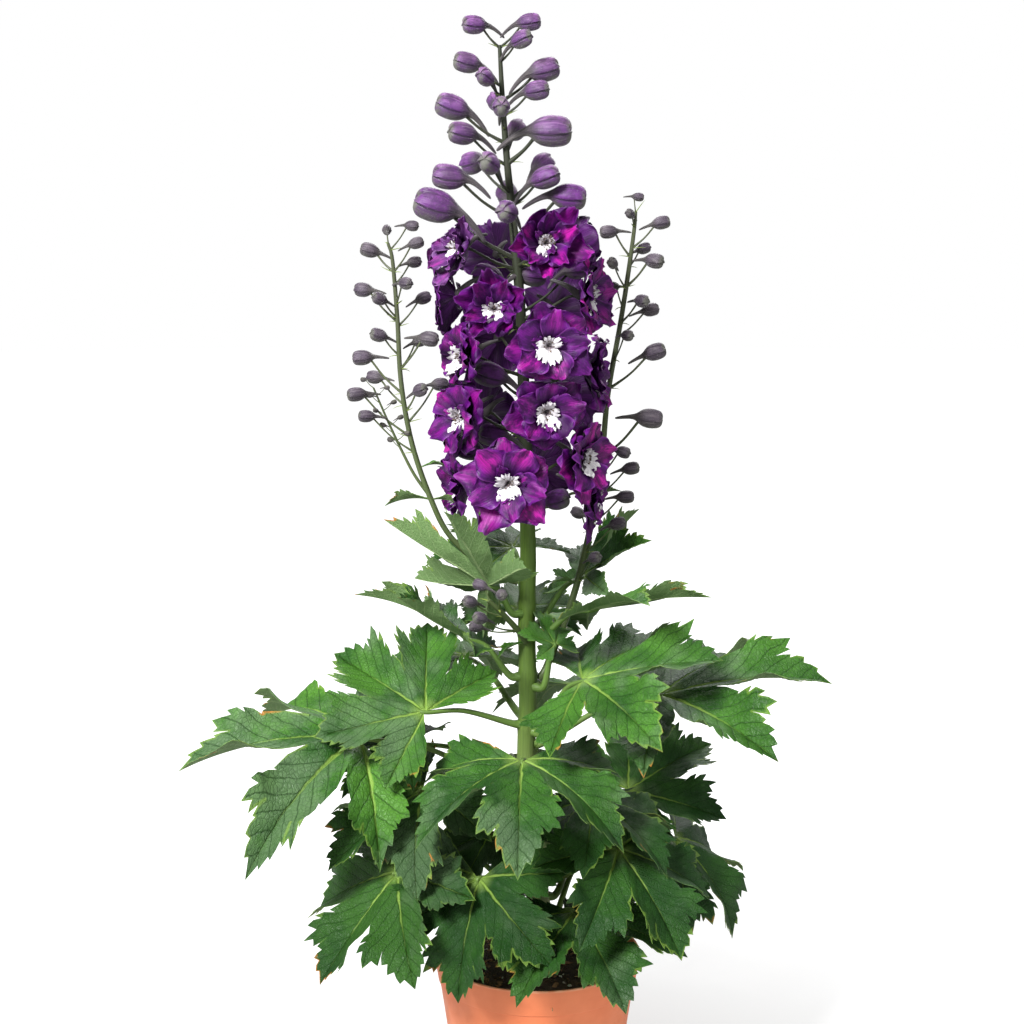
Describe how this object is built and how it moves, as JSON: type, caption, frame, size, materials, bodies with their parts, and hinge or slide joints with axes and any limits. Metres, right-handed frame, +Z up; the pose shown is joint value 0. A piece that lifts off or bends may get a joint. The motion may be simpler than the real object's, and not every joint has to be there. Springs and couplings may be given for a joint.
{
  "type": "potted delphinium",
  "caption": "Potted delphinium: an upright spike of semi-double purple florets and closed buds, with slim side sprays, over cut and toothed leaves in a round tapered pot of soil.",
  "frame": {"origin": "centre of the pot's underside, where it rests", "axes": "+Z up along the plant's height; -Y is the front, the side with the largest open florets; +X is the viewer's right"},
  "size_m": [0.467, 0.3026, 0.788],
  "materials": {
    "terracotta": "satin",
    "soil": "rough",
    "stem": "satin",
    "spray": "satin",
    "leaf": "satin",
    "petal": "satin"
  },
  "bodies": {
    "root": {"pot": "terracotta", "soil": "soil", "main_stem": "stem", "left_spray": "spray", "right_spray": "spray", "low_spray": "spray", "bloom_01": "petal", "bloom_02": "petal", "bloom_03": "petal", "bloom_04": "petal", "bloom_05": "petal", "bloom_06": "petal", "bloom_07": "petal", "bloom_08": "petal", "bloom_09": "petal", "bloom_10": "petal", "bloom_11": "petal", "bloom_12": "petal", "bloom_13": "petal", "bloom_14": "petal", "bloom_15": "petal", "bloom_16": "petal", "bloom_17": "petal", "bloom_18": "petal", "bloom_19": "petal", "bloom_20": "petal", "bloom_21": "petal", "leaf_01": "leaf", "leaf_02": "leaf", "leaf_03": "leaf", "leaf_04": "leaf", "leaf_05": "leaf", "leaf_06": "leaf", "leaf_07": "leaf", "leaf_08": "leaf", "leaf_09": "leaf", "leaf_10": "leaf", "leaf_11": "leaf", "leaf_12": "leaf", "leaf_13": "leaf", "leaf_14": "leaf", "leaf_15": "leaf", "leaf_16": "leaf", "leaf_17": "leaf", "leaf_18": "leaf", "leaf_19": "leaf", "leaf_20": "leaf", "leaf_21": "leaf", "leaf_22": "leaf", "leaf_23": "leaf", "leaf_24": "leaf", "leaf_25": "leaf", "leaf_26": "leaf"}
  },
  "joints": []
}
